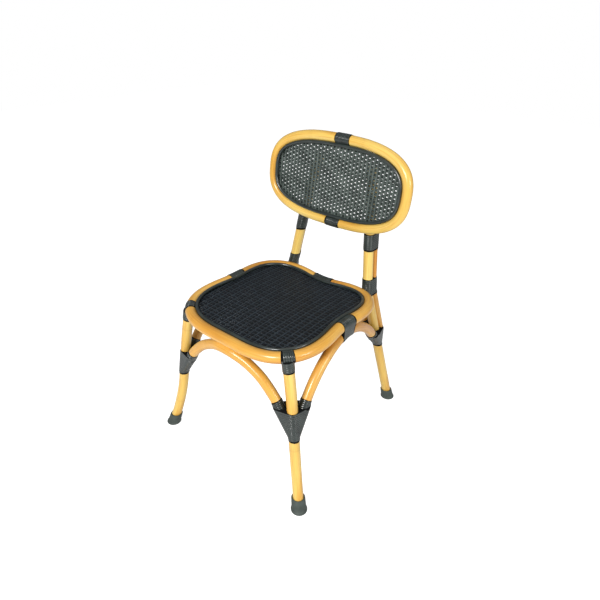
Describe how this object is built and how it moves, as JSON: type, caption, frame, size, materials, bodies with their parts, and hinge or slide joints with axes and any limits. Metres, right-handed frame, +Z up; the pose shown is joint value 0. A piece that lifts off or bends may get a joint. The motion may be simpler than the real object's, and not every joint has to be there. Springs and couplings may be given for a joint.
{
  "type": "bistro chair",
  "caption": "Bistro chair of bent cane poles lashed with dark strip, with a round-cornered woven seat, an oval open-weave back and splayed legs in rubber caps.",
  "frame": {"origin": "middle of the chair's plan, on the floor", "axes": "+Z up, the sitter faces -Y, +X towards the sitter's left hand; the two sides mirror each other in the plane X = 0"},
  "size_m": [0.5594, 0.6, 0.8555],
  "materials": {
    "rattan": "peeled cane pole, clear lacquer",
    "strip": "flat binding strip wound edge to edge, semi-gloss",
    "weave": "close basket weave of flat strip",
    "cane": "open weave of flat strip",
    "rubber": "moulded, matt",
    "hardwood": "plain turned dowel, inside the joints"
  },
  "bodies": {
    "root": {"seat_ring": "rattan", "seat_panel": "weave", "seat_welt": "strip", "front_arch": "rattan", "rear_arch": "rattan", "rear_ring_wrap": "strip", "back_panel": "cane", "back_welt": "strip", "back_wrap_top": "strip", "back_wrap_bottom": "strip", "front_leg_right": "rattan", "rear_post_right": "rattan", "rear_brace_right": "rattan", "side_arch_right": "rattan", "back_rail_right": "rattan", "corner_strap_right": "strip", "leg_wrap_right": "strip", "ring_wrap_right": "strip", "post_wrap_low_right": "strip", "post_wrap_high_right": "strip", "front_joint_wrap_right": "strip", "rear_joint_wrap_right": "strip", "front_arch_sleeve_right": "strip", "rear_arch_sleeve_right": "strip", "side_sleeve_front_right": "strip", "side_sleeve_rear_right": "strip", "front_cap_right": "rubber", "rear_cap_right": "rubber", "front_leg_left": "rattan", "rear_post_left": "rattan", "rear_brace_left": "rattan", "side_arch_left": "rattan", "back_rail_left": "rattan", "corner_strap_left": "strip", "leg_wrap_left": "strip", "ring_wrap_left": "strip", "post_wrap_low_left": "strip", "post_wrap_high_left": "strip", "front_joint_wrap_left": "strip", "rear_joint_wrap_left": "strip", "front_arch_sleeve_left": "strip", "rear_arch_sleeve_left": "strip", "side_sleeve_front_left": "strip", "side_sleeve_rear_left": "strip", "front_cap_left": "rubber", "rear_cap_left": "rubber", "ring_dowel": "hardwood", "back_dowel_top": "hardwood", "back_dowel_bottom": "hardwood", "leg_dowel_right": "hardwood", "leg_dowel_left": "hardwood", "post_dowel_right": "hardwood", "post_dowel_left": "hardwood", "back_post_dowel_right": "hardwood", "back_post_dowel_left": "hardwood", "front_arch_dowel": "hardwood", "rear_arch_dowel": "hardwood", "right_arch_dowel": "hardwood", "left_arch_dowel": "hardwood"}
  },
  "joints": []
}
